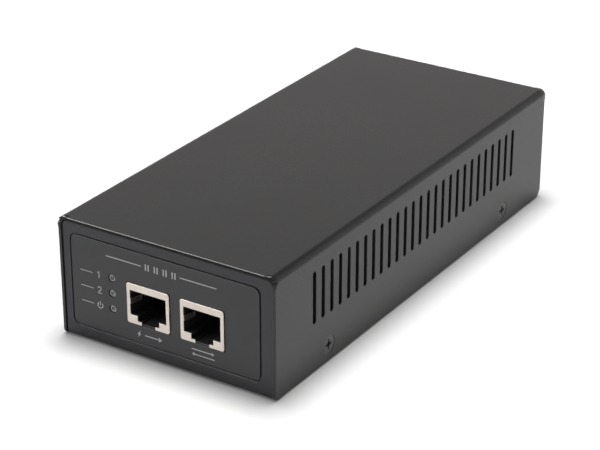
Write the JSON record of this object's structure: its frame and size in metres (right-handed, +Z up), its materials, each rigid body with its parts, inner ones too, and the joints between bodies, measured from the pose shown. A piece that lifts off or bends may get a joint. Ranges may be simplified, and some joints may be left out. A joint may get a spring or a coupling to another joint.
{
  "type": "poe injector",
  "caption": "Slim black steel box with two network ports and indicators on the front, slotted vents along the sides and a mains inlet at the back.",
  "frame": {"origin": "middle of the case's underside", "axes": "+Z up, front panel facing -Y, +X to the right seen from the front"},
  "size_m": [0.07, 0.154, 0.036],
  "materials": {
    "case_paint": "semi-matte black powder coat",
    "panel_paint": "semi-matte black powder coat, slightly bluish",
    "label_film": "matt charcoal polycarbonate label",
    "black_screw": "black-oxide steel",
    "zinc_steel": "zinc-plated steel",
    "tin_shield": "satin tin plate",
    "black_nylon": "moulded black nylon",
    "gold_contact": "gold-plated phosphor bronze",
    "tinned_lead": "tinned copper",
    "led_lens": "cloudy clear epoxy",
    "board": "green solder mask on glass epoxy",
    "insulation_film": "milky polyester film",
    "white_nylon": "natural white nylon",
    "lead_brown": "brown PVC",
    "lead_blue": "blue PVC",
    "lead_green": "green PVC with a yellow stripe",
    "red_sleeve": "red PVC",
    "fuse_glass": "clear glass with tinned caps",
    "blue_epoxy": "dipped blue epoxy",
    "black_epoxy": "moulded black epoxy",
    "yellow_case": "yellow thermoplastic case",
    "ferrite": "sintered dark grey ferrite",
    "copper_wire": "enamelled copper wire",
    "yellow_tape": "yellow polyester tape",
    "can_sleeve": "black shrink sleeve on an aluminium can",
    "can_sleeve_blue": "dark blue shrink sleeve on an aluminium can",
    "raw_aluminium": "extruded aluminium"
  },
  "bodies": {
    "chassis": {"bottom_chassis": "panel_paint", "side_brackets": "panel_paint", "front_label": "label_film", "insulation_sheet": "insulation_film", "pcb_standoffs": "zinc_steel", "pcb_screws": "zinc_steel", "main_pcb": "board", "out_jack_shield": "tin_shield", "out_jack_housing": "black_nylon", "out_jack_terminals": "gold_contact", "data_jack_shield": "tin_shield", "data_jack_housing": "black_nylon", "data_jack_terminals": "gold_contact", "led_holder": "black_nylon", "status_leds": "led_lens", "led_leads": "tinned_lead", "inlet_body": "black_nylon", "inlet_pins": "tin_shield", "inlet_screws": "black_screw", "inlet_nuts": "zinc_steel", "live_wire": "lead_brown", "neutral_wire": "lead_blue", "earth_wire": "lead_green", "wire_sleeves": "red_sleeve", "earth_stud": "zinc_steel", "earth_lug": "tin_shield", "earth_nut": "zinc_steel", "mains_header": "white_nylon", "mains_plug": "white_nylon", "fuse": "fuse_glass", "varistor": "blue_epoxy", "thermistor": "black_epoxy", "x_capacitor": "yellow_case", "y_capacitors": "blue_epoxy", "line_choke_core": "ferrite", "line_choke_windings": "copper_wire", "bridge_rectifier": "black_epoxy", "bulk_capacitors": "can_sleeve", "primary_heatsink": "raw_aluminium", "switching_transistor": "black_epoxy", "transformer_core": "ferrite", "transformer_bobbin": "black_nylon", "transformer_winding": "yellow_tape", "optocoupler": "white_nylon", "secondary_heatsink": "raw_aluminium", "output_rectifier": "black_epoxy", "heatsink_screws": "zinc_steel", "output_capacitors": "can_sleeve_blue", "output_choke": "copper_wire", "data_magnetics": "black_epoxy", "poe_controller": "black_epoxy", "small_parts": "black_epoxy"},
    "cover": {"top_cover": "case_paint", "cover_nuts": "zinc_steel"},
    "cover_screw_front_right": {"cover_screw_front_right": "black_screw"},
    "cover_screw_rear_right": {"cover_screw_rear_right": "black_screw"},
    "cover_screw_front_left": {"cover_screw_front_left": "black_screw"},
    "cover_screw_rear_left": {"cover_screw_rear_left": "black_screw"},
    "out_contacts": {"out_jack_contacts": "gold_contact"},
    "data_contacts": {"data_jack_contacts": "gold_contact"}
  },
  "joints": [
    {"name": "cover_lift", "type": "slide", "parent": "chassis", "child": "cover", "axis": [0, 0, 1], "range_m": [0, 0.06]},
    {"name": "loosen_front_right", "type": "slide", "parent": "cover", "child": "cover_screw_front_right", "axis": [1, 0, 0], "range_m": [0, 0.0015]},
    {"name": "loosen_rear_right", "type": "slide", "parent": "cover", "child": "cover_screw_rear_right", "axis": [1, 0, 0], "range_m": [0, 0.0015]},
    {"name": "loosen_front_left", "type": "slide", "parent": "cover", "child": "cover_screw_front_left", "axis": [-1, 0, 0], "range_m": [0, 0.0015]},
    {"name": "loosen_rear_left", "type": "slide", "parent": "cover", "child": "cover_screw_rear_left", "axis": [-1, 0, 0], "range_m": [0, 0.0015]},
    {"name": "out_contacts_flex", "type": "hinge", "parent": "chassis", "child": "out_contacts", "pos_m": [-0.0056, -0.07405, 0.02055], "axis": [1, 0, 0], "range_deg": [0, 6], "stiffness_Nm_per_rad": 0.002},
    {"name": "data_contacts_flex", "type": "hinge", "parent": "chassis", "child": "data_contacts", "pos_m": [0.0119, -0.07405, 0.02055], "axis": [1, 0, 0], "range_deg": [0, 6], "stiffness_Nm_per_rad": 0.002}
  ]
}
